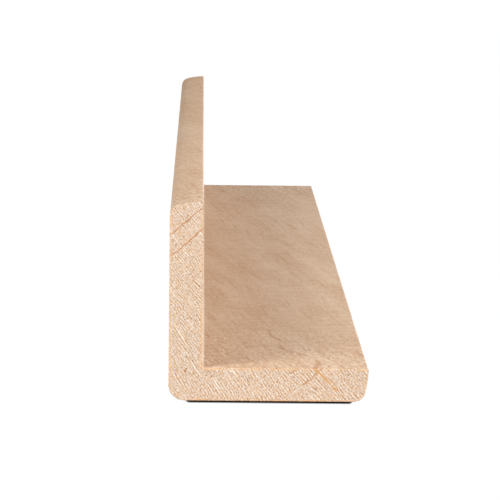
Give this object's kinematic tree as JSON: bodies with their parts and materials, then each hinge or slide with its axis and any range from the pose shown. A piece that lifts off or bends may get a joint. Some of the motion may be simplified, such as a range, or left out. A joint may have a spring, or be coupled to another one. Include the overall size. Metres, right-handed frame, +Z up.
{
  "type": "corner guard moulding",
  "caption": "Straight L-section hardwood moulding with a rounded outer corner and crowned toes, which covers and protects an outside wall corner.",
  "frame": {"origin": "under the middle of the piece, on the surface that its lower leg lies on", "axes": "+X across the lower leg from the upright leg to the lower toe, +Y along the length and the grain, +Z up the upright leg"},
  "size_m": [0.0381, 0.3048, 0.0381],
  "materials": {
    "raw_maple": "raw, planed by the moulder on the long faces and sawn on the ends"
  },
  "bodies": {
    "root": {"corner_guard": "raw_maple"}
  },
  "joints": []
}
